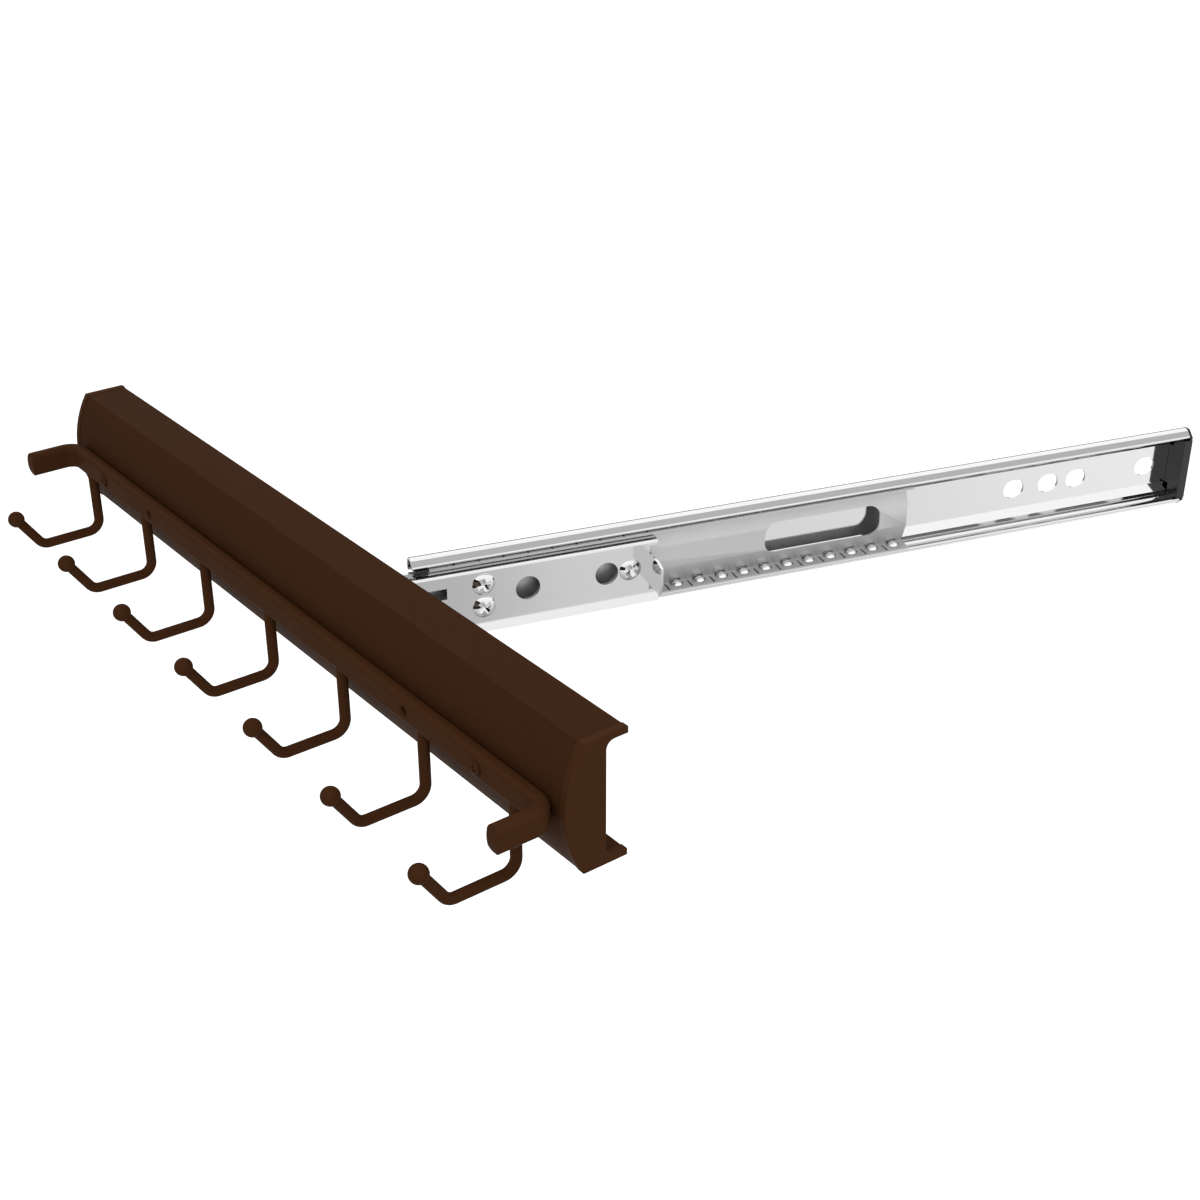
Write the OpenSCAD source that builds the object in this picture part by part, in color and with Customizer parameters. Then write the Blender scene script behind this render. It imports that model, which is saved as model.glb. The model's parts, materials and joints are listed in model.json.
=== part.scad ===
// Swivel belt rack: a ball slide for a cabinet side that carries a hook bar on an upright hinge.
// X points out from the cabinet side, Y to the back of the cabinet and Z up.
// The origin lies on the slide's back face, midway between its two front fixing slots.

/* [Hook bar] */
// Length of the bar over both end caps
bar_len = 350; // [300:1:600]
// Height of the bar profile
bar_h = 45.9; // [44:0.1:60]
// Radius of the bowed front of the profile
bar_front_r = 42.85; // [40:0.1:70]
// Depth from the crest of the bowed front to the rear face of the web
bar_web_depth = 14.8; // [12:0.1:20]
// Depth from the crest of the bowed front to the tips of the flanges
bar_depth = 23; // [20:0.1:28]
// Thickness of the front wall and of the web
bar_wall = 1.6; // [1.2:0.1:2.5]
// Thickness of the two flanges
flange_t = 1.9; // [1.4:0.1:3]
// Thickness of an end cap
cap_t = 3; // [2:0.1:5]
// How far an end cap stands proud of the profile all round
cap_proud = 0.3; // [0.2:0.1:1]

/* [Hook rail] */
// Distance of each bent leg from the outer face of its end cap
rail_inset = 2; // [0:0.5:20]
// Height of the rail
rail_h = 9.8; // [8:0.1:16]
// Thickness of the rail
rail_t = 5.5; // [4.5:0.1:7]
// Radius of the rail's rounded edges
rail_edge_r = 2.2; // [1:0.1:2.2]
// Reach of each leg from the back of the rail to its tip
leg_reach = 23.3; // [18:0.1:40]
// Radius at the inside of each leg's bend
leg_bend_r = 3; // [2:0.1:8]
// Distance of each rail screw from the outermost hook, towards the middle
rail_screw_in = 17.6; // [6:0.1:30]
// Distance of each spare rail hole from the second hook, towards the middle
spare_hole_in = 8.3; // [5:0.1:30]

/* [Hooks] */
// Distance of the outermost hooks from the ends of the rail
outer_hook_in = 19.4; // [12:0.1:40]
// Diameter of the hook rod
rod_d = 4; // [2.5:0.1:4]
// Height from the middle of the rail down to the rod's level run
hook_drop = 29.1; // [22:0.1:40]
// Length of the level run between its two bends
hook_run = 25.4; // [18:0.1:40]
// Radius of the rod's centre line in its bends
hook_bend_r = 5; // [4:0.1:7]
// Angle at which the tip rises
hook_tip_angle = 56; // [40:0.5:80]
// Length of the rising tip, from the bend point to the middle of the ball
hook_tip_len = 17.2; // [14:0.1:30]
// Diameter of the ball on the tip
hook_ball_d = 6.7; // [5:0.1:9]

/* [Slide] */
// Length of the channel's steel
channel_len = 334.8; // [320:0.1:340]
// Thickness of the channel's and the carriage's steel
sheet_t = 1; // [0.8:0.05:1]
// Diameter of the bearing balls
ball_d = 4.76; // [4.6:0.01:4.76]
// Distance between neighbouring balls
ball_pitch = 9.4; // [9:0.1:9.6]
// Balls in each row
ball_count = 21; // [15:1:21]
// Distance of the carriage's front face from the cabinet side
slide_depth = 12.7; // [12.5:0.1:13.5]
// Length of the ball cage
cage_len = 197.4; // [195:0.1:200]
// Length of the carriage from its front end to its rear corners
carriage_len = 102; // [100:0.1:104]
// Distance from the first rear fixing slot to the channel's rear end
rear_slot_in = 78.3; // [74:0.1:100]
// Length of a fixing slot from end to end
slot_len = 9.5; // [8:0.1:10]
// Height of a fixing slot
slot_w = 7.8; // [5:0.1:8]

/* [Swivel] */
// Angle between the bar and its square position, as it stands
rest_turn = 16.5; // [0:0.5:60]
// Distance of the swivel pin from the cabinet side
pivot_x = 21.3; // [21:0.1:24]
// Distance of the swivel pin in front of the channel's front end
pivot_ahead = 13; // [12.5:0.1:16]
// Distance of the swivel pin from the outer face of the near end cap
pivot_from_end = 132.3; // [120:0.1:160]
// Diameter of the swivel pin
pin_d = 5; // [4:0.1:5]

/* [Hidden] */
$fn = 64;
overrun = 1;

front_slot_pitch = 32;
rear_slot_y = channel_len - rear_slot_in;
front_slot_min_y = 20;
front_slot_steps = floor((rear_slot_y - front_slot_min_y) / front_slot_pitch);
front_slot_y = rear_slot_y - front_slot_steps * front_slot_pitch;
slot_steps = [0, 16.5, 30, 64];
origin_y = front_slot_y + front_slot_pitch / 2;

running_gap = 0.02;
clear_gap = 0.3;

ball_r = ball_d / 2;
race_r = ball_r + 2 * running_gap;
race_w = 5.6;
race_z = 13.6;
race_out_r = race_r + sheet_t;
web_flat_z = 9;
jog_h = 2.6;
lip_line = race_w + race_z + race_out_r * sqrt(2);
lip_tip_w = 9.8;
lip_tip_z = lip_line - lip_tip_w;
seam = 0.03;
notch_depth = 8;
tongue_z = 4;

cage_t = 0.7;
cage_front_y = 6;
cage_face_w = 6.8;
cage_web_z = 4.6;
cage_fold_w = race_w - race_out_r + sheet_t + clear_gap + cage_t;
cage_fold_z = 12.1;
cage_shelf_z = 12.6;
cage_shelf_w = 10.5;
cage_hole_r = ball_r + 0.12;
cage_hole_z = race_z - cage_hole_r;
cage_slit_w = 0.8;
cage_slit_len = 5.2;
cage_slit_w0 = 4.7;
first_ball_y = 10.7;
window_y = 141;
window_len = 50.3;
window_h = 12.8;
window_r = 5;

carriage_front_y = -8.4;
carriage_web_z = 10.1;
flank_out = 1.6;
flank_rise = 3.4;
bend_share = 0.3;
leg_out_z = race_z - race_r;
cradle_bottom_z = leg_out_z - sheet_t;
cage_lean = (cage_face_w - cage_fold_w) / (cage_fold_z - cage_web_z);
cradle_back_w = cage_face_w - cage_lean * (cradle_bottom_z - cage_web_z) + clear_gap;
cradle_top_z = cage_shelf_z - clear_gap;
web_step = 3.5;
web_end_y = carriage_front_y + carriage_len - web_step;
pivot_stand_off = 6;
tab_gap = 1;
tab_reach = pivot_x + pivot_stand_off - slide_depth - tab_gap;
tab_top_z = 7.1;
tab_bottom_z = -5.6;
tab_tip_top_z = 5.8;
tab_tip_bottom_z = -0.6;
tab_top_run = tab_reach - 3.6;
tab_bottom_run = tab_reach - 1.7;
feature_z = 0.6;
access_hole_y = [42.2, 73.1];
access_hole_d = [9.4, 9];
stack_screw_y = 25.3;
stack_screw_step = 9.2;
rear_screw_y = 82.4;
catch_y = 3.5;
catch_len = 8;
catch_z = 1.6;
catch_h = 4.3;

screw_head_r = 4.4;
screw_head_h = 1.9;
screw_shank_r = 2;
screw_len = 3.4;
recess_w = 1.2;
recess_len = 4.4;
recess_depth = 1.1;
head_dome_r = 7;

strap_t = 1.5;
strap_z = 8.6;
strap_hole_margin = 0.6;
strap_back = 2.1;
strap_end_y = web_end_y - strap_back;
strap_w = slide_depth - sheet_t - strap_t;
knuckle_r = 4.3;
knuckle_z = 5.6;
arm_y = -pivot_ahead + knuckle_r - strap_t;
pin_gap = 0.06;

washer_t = 0.6;
washer_gap = 0.08;
washer_r = 4.2;
leaf_t = 2;
leaf_z = 12;
leaf_len = 50;
leaf_mouth = 4.2;
leaf_knuckle_z = knuckle_z + washer_t + 2 * washer_gap;
pin_head_r = 4;
pin_head_h = 1.5;
leaf_screw_steps = [18, 40];
leaf_screw_z = 7.5;
leaf_screw_head_r = 3.4;
leaf_screw_head_h = 1.3;
leaf_screw_r = 1.8;
leaf_screw_len = 6;

rear_stop_len = 2.7;
rear_rim_t = 1.2;
rear_plug_w = 9.9;
rear_plug_z = 12.9;
front_stop_y = 0.8;
front_stop_len = 4.9;
front_stop_r = 2.1;
front_stop_w = 10.4;
front_foot_w = 9.2;
front_stop_z = cradle_top_z + clear_gap;
front_stop_h = 0.8;

crest_y = -6.5;
web_rear_y = crest_y + bar_web_depth;
flange_tip_y = crest_y + bar_depth;
bar_arc_y = crest_y + bar_front_r;
flange_fillet = 3;
cap_plug_len = 8;
cap_plug_gap = 0.2;
cap_plug_wall = 1.5;
bar_mid_x = -bar_len / 2;
rail_len = bar_len - 2 * rail_inset;
hook_pitch = (rail_len / 2 - outer_hook_in) / 3;
rail_screw_at = 3 * hook_pitch - rail_screw_in;
spare_hole_at = 2 * hook_pitch - spare_hole_in;
pivot_bar_y = web_rear_y + pivot_stand_off;

rail_low = 0.3;
rail_seat_gap = 0.05;
rod_cover = 0.15;
rail_back_y = crest_y - rail_seat_gap;
rail_face_y = rail_back_y - rail_t;
rail_end_r = 14;
rail_screw_r = 1.5;
rail_screw_len = 10;
rail_head_r = 2.5;
rail_head_h = 1.1;
rail_recess_w = 0.8;
rail_recess_len = 3;
spare_hole_r = 1.7;
spare_sink_r = 2.4;
rod_plane_y = rail_face_y + rod_d / 2 + rod_cover;

// Placing helpers

// Moves a shape drawn from the channel's front end to the part's own origin
module on_slide() {
    translate([0, -origin_y, 0]) children();
}

// Moves a shape drawn in the bar's frame to where the bar hangs on the swivel pin
module on_bar() {
    on_slide()
        translate([pivot_x, -pivot_ahead, 0])
            rotate([0, 0, rest_turn])
                translate([pivot_from_end, -pivot_bar_y, 0])
                    children();
}

// Extrudes a section drawn as [distance from the wall, height] along the slide
module along_slide(y0, y1) {
    translate([0, y1, 0])
        rotate([90, 0, 0])
            linear_extrude(y1 - y0)
                children();
}

// Extrudes a section drawn as [depth, height] along the bar
module along_bar(x0, x1) {
    translate([x0, 0, 0])
        rotate([90, 0, 90])
            linear_extrude(x1 - x0)
                children();
}

// Repeats a section above and below the middle of the slide
module both_sides() {
    children();
    mirror([0, 1]) children();
}

// Fastener shapes

// A screw along Z with its head's underside at zero, a domed head and a cross recess
module cross_screw(head_r, head_h, shank_r, shank_len, cut_w, cut_len, cut_depth, dome_r) {
    difference() {
        union() {
            intersection() {
                cylinder(h = head_h, r = head_r);
                translate([0, 0, head_h - dome_r]) sphere(r = dome_r, $fn = 96);
            }
            translate([0, 0, -shank_len]) cylinder(h = shank_len + head_h / 2, r = shank_r);
        }
        for (turn = [0, 90])
            rotate([0, 0, turn])
                translate([-cut_len / 2, -cut_w / 2, head_h - cut_depth])
                    cube([cut_len, cut_w, cut_depth + overrun]);
    }
}

// The slots that screws fix the channel through, cut along X
module fixing_slot(y) {
    run = slot_len - slot_w;
    for (side = [-1, 1])
        translate([-overrun, y + side * run / 2, 0])
            rotate([0, 90, 0])
                cylinder(h = sheet_t + 2 * overrun, r = slot_w / 2);
    translate([-overrun, y - run / 2, -slot_w / 2])
        cube([sheet_t + 2 * overrun, run, slot_w]);
}

// Cabinet channel

// The channel's web with a jog out to the back of each race
module channel_web() {
    back_w = race_w - race_out_r + seam;
    front_w = back_w + sheet_t - 2 * seam;
    half = [
        [0, web_flat_z], [back_w, web_flat_z + jog_h], [back_w, race_z],
        [front_w, race_z], [front_w, web_flat_z + jog_h], [sheet_t, web_flat_z - sheet_t / 2]
    ];
    polygon([for (p = half) p, for (i = [len(half) - 1 : -1 : 0]) [half[i][0], -half[i][1]]]);
}

// The round back of the upper race
module channel_race() {
    intersection() {
        difference() {
            translate([race_w, race_z]) circle(r = race_out_r, $fn = 96);
            translate([race_w, race_z]) circle(r = race_r, $fn = 96);
        }
        translate([race_w - 2 * race_out_r, race_z - sheet_t / 2])
            square([2 * race_out_r + race_r / 2, 2 * race_out_r]);
    }
}

// The flat lip that closes the upper race
module channel_lip() {
    top_z = race_z + race_out_r - seam;
    mouth = (race_r + seam) / sqrt(2);
    difference() {
        polygon([
            [race_w, race_z], [race_w, top_z], [lip_line - top_z, top_z], [lip_tip_w, lip_tip_z],
            [mouth + lip_tip_w - race_out_r / sqrt(2), mouth + lip_tip_z - race_out_r / sqrt(2)],
            [race_w + mouth, race_z + mouth]
        ]);
        translate([race_w, race_z]) circle(r = race_r, $fn = 96);
    }
}

module channel() {
    color("#D9D9D9") on_slide() difference() {
        union() {
            along_slide(0, channel_len) channel_web();
            for (side = [0, 1]) mirror([0, 0, side]) {
                along_slide(0, channel_len) channel_race();
                along_slide(0, channel_len) channel_lip();
            }
        }
        for (step = slot_steps) fixing_slot(rear_slot_y + step);
        for (step = [0, front_slot_pitch]) fixing_slot(front_slot_y + step);
        along_slide(-overrun, notch_depth) both_sides()
            translate([-overrun, tongue_z])
                square([race_w - race_out_r + sheet_t / 2 + overrun, web_flat_z + jog_h - tongue_z]);
    }
}

module rear_stop() {
    color("#1E1E1E") on_slide() {
        along_slide(channel_len - rear_stop_len, channel_len + rear_rim_t) both_sides() {
            translate([sheet_t + running_gap, 0])
                square([rear_plug_w - sheet_t, web_flat_z - sheet_t / 2]);
            translate([race_w - race_out_r + sheet_t + clear_gap, 0])
                square([rear_plug_w - race_w + race_out_r - sheet_t, rear_plug_z]);
            translate([race_w, race_z]) circle(r = race_r - running_gap);
        }
        along_slide(channel_len + running_gap, channel_len + rear_rim_t) both_sides() union() {
            polygon([
                [0, 0], [rear_plug_w, 0], [rear_plug_w, lip_tip_z],
                [lip_line - race_z - race_out_r, race_z + race_out_r],
                [race_w, race_z + race_out_r], [0, web_flat_z]
            ]);
            translate([race_w, race_z]) circle(r = race_out_r);
        }
    }
}

// A plastic stop that sits in a race in front of the cage
module front_stop() {
    along_slide(front_stop_y, front_stop_y + front_stop_len) {
        translate([race_w, race_z + race_r - front_stop_r - running_gap]) circle(r = front_stop_r);
        translate([race_w, front_stop_z])
            square([front_stop_w - race_w, front_stop_h]);
        translate([front_foot_w, leg_out_z + clear_gap])
            square([front_stop_w - front_foot_w, front_stop_z + front_stop_h / 2 - leg_out_z - clear_gap]);
    }
}

module upper_front_stop() {
    color("#2A2A2A") on_slide() front_stop();
}

module lower_front_stop() {
    color("#2A2A2A") on_slide() mirror([0, 0, 1]) front_stop();
}

// Ball cage and balls

module cage_half() {
    fold = [cage_fold_w, cage_fold_z];
    square([cage_face_w, cage_web_z]);
    polygon([
        [0, 0], [cage_face_w, 0], [cage_face_w, cage_web_z],
        fold, [cage_fold_w, cage_shelf_z], [cage_shelf_w, cage_shelf_z],
        [cage_shelf_w, cage_shelf_z + cage_t], [0, cage_shelf_z + cage_t]
    ]);
}

// The space behind the cage's sheet
module cage_hollow_half() {
    back_w = cage_face_w - cage_t;
    polygon([
        [-overrun, -overrun], [back_w, -overrun], [back_w, cage_web_z],
        [cage_fold_w - cage_t, cage_fold_z], [cage_fold_w - cage_t, cage_shelf_z + cage_t + overrun],
        [-overrun, cage_shelf_z + cage_t + overrun]
    ]);
}

module ball_cage() {
    end_y = cage_front_y + cage_len;
    color("#C8C8C8") on_slide() difference() {
        along_slide(cage_front_y, end_y) both_sides() difference() {
            cage_half();
            cage_hollow_half();
        }
        for (i = [0 : ball_count - 1], side = [0, 1])
            mirror([0, 0, side])
                translate([race_w, first_ball_y + i * ball_pitch, cage_hole_z])
                    cylinder(h = cage_shelf_z + cage_t + overrun - cage_hole_z, r = cage_hole_r);
        for (i = [0 : ball_count - 2], side = [0, 1])
            mirror([0, 0, side])
                translate([cage_slit_w0, first_ball_y + (i + 1 / 2) * ball_pitch - cage_slit_w / 2, cage_shelf_z - running_gap])
                    cube([cage_slit_len, cage_slit_w, cage_t + overrun]);
        cage_window();
    }
}

// The long window with round corners in the cage's web
module cage_window() {
    reach = cage_face_w + 2 * overrun;
    for (y = [window_y + window_r, window_y + window_len - window_r], side = [-1, 1])
        translate([0, y, side * (window_h / 2 - window_r)])
            rotate([0, 90, 0])
                cylinder(h = reach, r = window_r);
    translate([0, window_y + window_r, -window_h / 2])
        cube([reach, window_len - 2 * window_r, window_h]);
    translate([0, window_y, -window_h / 2 + window_r])
        cube([reach, window_len, window_h - 2 * window_r]);
}

module ball_row(side) {
    for (i = [0 : ball_count - 1])
        translate([race_w, first_ball_y + i * ball_pitch, side * race_z])
            sphere(r = ball_r, $fn = 32);
}

module upper_balls() {
    color("#E8E8E8") on_slide() ball_row(1);
}

module lower_balls() {
    color("#E8E8E8") on_slide() ball_row(-1);
}

// Carriage

// One half of the carriage's section: a leg bent back from the web and the cradle under the balls
module carriage_leg_half() {
    bend = leg_out_z - carriage_web_z;
    back_w = slide_depth - sheet_t;
    polygon([
        [race_w, cradle_bottom_z], [race_w, leg_out_z], [slide_depth - bend, leg_out_z],
        [slide_depth - bend * bend_share, leg_out_z - bend * bend_share], [slide_depth, carriage_web_z],
        [slide_depth, carriage_web_z - sheet_t], [back_w, carriage_web_z - sheet_t], [back_w, cradle_bottom_z]
    ]);
    intersection() {
        difference() {
            translate([race_w, race_z]) circle(r = race_out_r, $fn = 96);
            translate([race_w, race_z]) circle(r = race_r, $fn = 96);
        }
        translate([cradle_back_w, 0]) square([2 * race_out_r, cradle_top_z]);
    }
}

// The flared flank under the web
module carriage_flank() {
    flank_len = sqrt(flank_out * flank_out + flank_rise * flank_rise);
    back = [-sheet_t * flank_rise / flank_len, -sheet_t * flank_out / flank_len];
    root = [slide_depth, -carriage_web_z + sheet_t / 2];
    tip = [slide_depth + flank_out, -carriage_web_z - flank_rise];
    polygon([root, [slide_depth, -carriage_web_z], tip, tip + back, root + [-sheet_t, 0]]);
}

module carriage() {
    color("#CBCBCB") on_slide() difference() {
        union() {
            along_slide(carriage_front_y, carriage_front_y + carriage_len) {
                both_sides() carriage_leg_half();
                carriage_flank();
            }
            along_slide(carriage_front_y, web_end_y)
                translate([slide_depth - sheet_t, -carriage_web_z])
                    square([sheet_t, 2 * carriage_web_z]);
            carriage_tab();
        }
        for (i = [0, 1]) through_carriage(access_hole_y[i], feature_z, access_hole_d[i] / 2);
        for (side = [-1, 1])
            through_carriage(stack_screw_y, feature_z + side * stack_screw_step / 2, screw_shank_r + running_gap);
        through_carriage(rear_screw_y, feature_z, screw_shank_r + running_gap);
        translate([slide_depth - sheet_t - overrun, catch_y, catch_z])
            cube([sheet_t + 2 * overrun, catch_len, catch_h]);
    }
}

// The tab bent out of the web's rear edge, which the folded bar rests against
module carriage_tab() {
    w0 = slide_depth - sheet_t;
    along_slide(web_end_y - sheet_t, web_end_y) polygon([
        [w0, tab_top_z], [slide_depth + tab_top_run, tab_top_z],
        [slide_depth + tab_reach, tab_tip_top_z], [slide_depth + tab_reach, tab_tip_bottom_z],
        [slide_depth + tab_bottom_run, tab_bottom_z], [w0, tab_bottom_z]
    ]);
}

// A round hole along X that goes through the carriage's web and the strap behind it
module through_carriage(y, z, r) {
    translate([strap_w - overrun, y, z])
        rotate([0, 90, 0])
            cylinder(h = sheet_t + strap_t + 2 * overrun, r = r);
}

// Swivel hinge

module hinge_strap() {
    color("#B8B8B8") on_slide() difference() {
        union() {
            translate([strap_w, arm_y, -strap_z])
                cube([strap_t - running_gap, strap_end_y - arm_y, 2 * strap_z]);
            translate([strap_w, arm_y, -knuckle_z])
                cube([pivot_x - strap_w, strap_t, 2 * knuckle_z]);
            translate([pivot_x, -pivot_ahead, -knuckle_z])
                cylinder(h = 2 * knuckle_z, r = knuckle_r);
        }
        translate([pivot_x, -pivot_ahead, -knuckle_z - overrun])
            cylinder(h = 2 * (knuckle_z + overrun), r = pin_d / 2 + pin_gap);
        for (i = [0, 1]) through_carriage(access_hole_y[i], feature_z, access_hole_d[i] / 2 + strap_hole_margin);
        for (side = [-1, 1])
            through_carriage(stack_screw_y, feature_z + side * stack_screw_step / 2, screw_shank_r + running_gap);
        through_carriage(rear_screw_y, feature_z, screw_shank_r + running_gap);
        translate([strap_w - overrun, catch_y - strap_hole_margin, catch_z - strap_hole_margin])
            cube([strap_t + 2 * overrun, catch_len + 2 * strap_hole_margin, catch_h + 2 * strap_hole_margin]);
    }
}

// A screw that stands on the carriage's front face
module carriage_screw(y, z) {
    translate([slide_depth + running_gap, y, z])
        rotate([0, 90, 0])
            cross_screw(screw_head_r, screw_head_h, screw_shank_r, screw_len,
                recess_w, recess_len, recess_depth, head_dome_r);
}

module front_carriage_screws() {
    color("#E0E0E0") on_slide()
        for (side = [-1, 1]) carriage_screw(stack_screw_y, feature_z + side * stack_screw_step / 2);
}

module rear_carriage_screw() {
    color("#E0E0E0") on_slide() carriage_screw(rear_screw_y, feature_z);
}

module hinge_pin() {
    reach = leaf_z + running_gap;
    color("#D0D0D0") on_slide() translate([pivot_x, -pivot_ahead, 0]) {
        translate([0, 0, -reach]) cylinder(h = 2 * reach, r = pin_d / 2);
        translate([0, 0, reach]) cylinder(h = pin_head_h, r = pin_head_r);
        translate([0, 0, -reach - pin_head_h]) cylinder(h = pin_head_h, r = pin_head_r);
    }
}

module hinge_washers() {
    color("#F0F0F0") on_slide() translate([pivot_x, -pivot_ahead, 0])
        for (side = [-1, 1])
            translate([0, 0, side * (knuckle_z + washer_gap + washer_t / 2) - washer_t / 2])
                difference() {
                    cylinder(h = washer_t, r = washer_r);
                    translate([0, 0, -overrun])
                        cylinder(h = washer_t + 2 * overrun, r = pin_d / 2 + running_gap);
                }
}

module bar_hinge_leaf() {
    plate_y = web_rear_y + running_gap - pivot_bar_y;
    color("#4A4A4A") on_bar() translate([-pivot_from_end, pivot_bar_y, 0]) difference() {
        union() {
            translate([0, plate_y, -leaf_z]) cube([leaf_len, leaf_t, 2 * leaf_z]);
            for (side = [0, 1]) mirror([0, 0, side])
                translate([0, 0, leaf_knuckle_z]) {
                    cylinder(h = leaf_z - leaf_knuckle_z, r = knuckle_r);
                    translate([0, plate_y, 0])
                        cube([knuckle_r, -plate_y, leaf_z - leaf_knuckle_z]);
                }
        }
        translate([0, 0, -leaf_z - overrun])
            cylinder(h = 2 * (leaf_z + overrun), r = pin_d / 2 + running_gap);
        translate([-overrun, plate_y - overrun, -leaf_knuckle_z])
            cube([leaf_mouth + overrun, leaf_t + 2 * overrun, 2 * leaf_knuckle_z]);
        for (x = leaf_screw_steps, side = [-1, 1])
            translate([x, plate_y - overrun, side * leaf_screw_z])
                rotate([-90, 0, 0])
                    cylinder(h = leaf_t + 2 * overrun, r = leaf_screw_r + running_gap);
    }
}

module leaf_screws() {
    color("#8A8A8A") on_bar()
        for (x = leaf_screw_steps, side = [-1, 1])
            translate([x - pivot_from_end, web_rear_y + leaf_t + 2 * running_gap, side * leaf_screw_z])
                rotate([-90, 0, 0])
                    cross_screw(leaf_screw_head_r, leaf_screw_head_h, leaf_screw_r, leaf_screw_len,
                        rail_recess_w, rail_recess_len, leaf_screw_head_h / 2, head_dome_r);
}

// Hook bar

// The outline of the profile, grown by a margin for the end caps
module bar_outline(grow) {
    half_h = bar_h / 2 + grow;
    inner_z = bar_h / 2 - flange_t - grow;
    tip_y = flange_tip_y + grow;
    intersection() {
        translate([bar_arc_y, 0]) circle(r = bar_front_r + grow, $fn = 180);
        translate([crest_y - grow, -half_h]) square([bar_web_depth + 2 * grow, 2 * half_h]);
    }
    both_sides() {
        translate([flange_fillet, inner_z]) square([tip_y - flange_fillet, half_h - inner_z]);
        translate([web_rear_y, inner_z - flange_fillet]) difference() {
            square([flange_fillet + grow, flange_fillet + flange_t / 2]);
            translate([flange_fillet + grow, 0]) circle(r = flange_fillet);
        }
    }
}

// The hollow chamber between the bowed front and the web
module bar_chamber(shrink) {
    half_h = bar_h / 2 - flange_t - shrink;
    front_y = crest_y + bar_wall + shrink;
    intersection() {
        translate([bar_arc_y, 0]) circle(r = bar_front_r - bar_wall - shrink, $fn = 180);
        translate([front_y, -half_h])
            square([web_rear_y - bar_wall - shrink - front_y, 2 * half_h]);
    }
}

module bar_profile() {
    color("#35231A") on_bar() difference() {
        along_bar(-bar_len + cap_t, -cap_t) difference() {
            bar_outline(0);
            bar_chamber(0);
        }
        for (side = [-1, 1])
            translate([bar_mid_x + side * rail_screw_at, crest_y - overrun, -rail_low])
                rotate([-90, 0, 0])
                    cylinder(h = bar_wall + 2 * overrun, r = rail_screw_r + running_gap);
        for (x = leaf_screw_steps, side = [-1, 1])
            translate([x - pivot_from_end, web_rear_y - bar_wall - overrun, side * leaf_screw_z])
                rotate([-90, 0, 0])
                    cylinder(h = bar_wall + 2 * overrun, r = leaf_screw_r + running_gap);
    }
}

// An end cap with its outer face at zero and a hollow plug that goes into the chamber along -X
module end_cap() {
    along_bar(-cap_t + running_gap, 0) bar_outline(cap_proud);
    along_bar(-cap_t - cap_plug_len, -cap_t / 2) difference() {
        bar_chamber(cap_plug_gap);
        bar_chamber(cap_plug_gap + cap_plug_wall);
    }
}

module near_end_cap() {
    color("#3D2719") on_bar() end_cap();
}

module far_end_cap() {
    color("#3D2719") on_bar() translate([-bar_len, 0, 0]) mirror([1, 0, 0]) end_cap();
}

// The rail's section with rounded edges, centred in height, with its back at zero
module rail_section(grow) {
    r = rail_edge_r;
    half_h = rail_h / 2 + grow;
    translate([-rail_t - grow, -half_h + r]) square([rail_t + 2 * grow, 2 * (half_h - r)]);
    translate([-rail_t - grow + r, -half_h]) square([rail_t + 2 * (grow - r), 2 * half_h]);
    for (y = [-rail_t - grow + r, grow - r], z = [-half_h + r, half_h - r])
        translate([y, z]) circle(r = r);
}

// The straight run of the rail between its two bends
module rail_run(grow) {
    straight = rail_len / 2 - rail_t - leg_bend_r;
    translate([bar_mid_x, rail_back_y, 0])
        along_bar(-straight, straight)
            rail_section(grow);
}

// One bent leg with its rounded tongue end, at the +X end of the rail
module rail_leg() {
    bend_out = leg_bend_r + rail_t;
    straight = rail_len / 2 - bend_out;
    reach = leg_reach - bend_out;
    translate([bar_mid_x + straight, rail_back_y - bend_out, 0]) {
        rotate_extrude(angle = 90) translate([bend_out, 0]) rail_section(0);
        intersection() {
            rotate([90, 0, 0]) linear_extrude(reach) translate([bend_out, 0]) rail_section(0);
            translate([0, -reach + rail_end_r, 0]) rotate([0, 90, 0]) cylinder(h = bend_out + overrun, r = rail_end_r);
        }
    }
}

module hook_rail() {
    color("#40281B") on_bar() translate([0, 0, -rail_low]) difference() {
        union() {
            rail_run(0);
            rail_leg();
            translate([2 * bar_mid_x, 0, 0]) mirror([1, 0, 0]) rail_leg();
        }
        for (side = [-1, 1]) {
            translate([bar_mid_x + side * rail_screw_at, rail_face_y - overrun, 0])
                rotate([-90, 0, 0])
                    cylinder(h = rail_t + 2 * overrun, r = rail_screw_r + running_gap);
            translate([bar_mid_x + side * spare_hole_at, rail_face_y - overrun, 0])
                rotate([-90, 0, 0])
                    cylinder(h = rail_t + 2 * overrun, r = spare_hole_r);
            translate([bar_mid_x + side * spare_hole_at, rail_face_y, 0])
                rotate([-90, 0, 0])
                    cylinder(h = spare_sink_r - spare_hole_r, r1 = spare_sink_r, r2 = spare_hole_r);
        }
    }
}

module rail_screws() {
    color("#40281B") on_bar() translate([0, 0, -rail_low])
        for (side = [-1, 1])
            translate([bar_mid_x + side * rail_screw_at, rail_face_y - running_gap, 0])
                rotate([90, 0, 0])
                    cross_screw(rail_head_r, rail_head_h, rail_screw_r, rail_screw_len,
                        rail_recess_w, rail_recess_len, rail_head_h / 2, head_dome_r);
}

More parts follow.
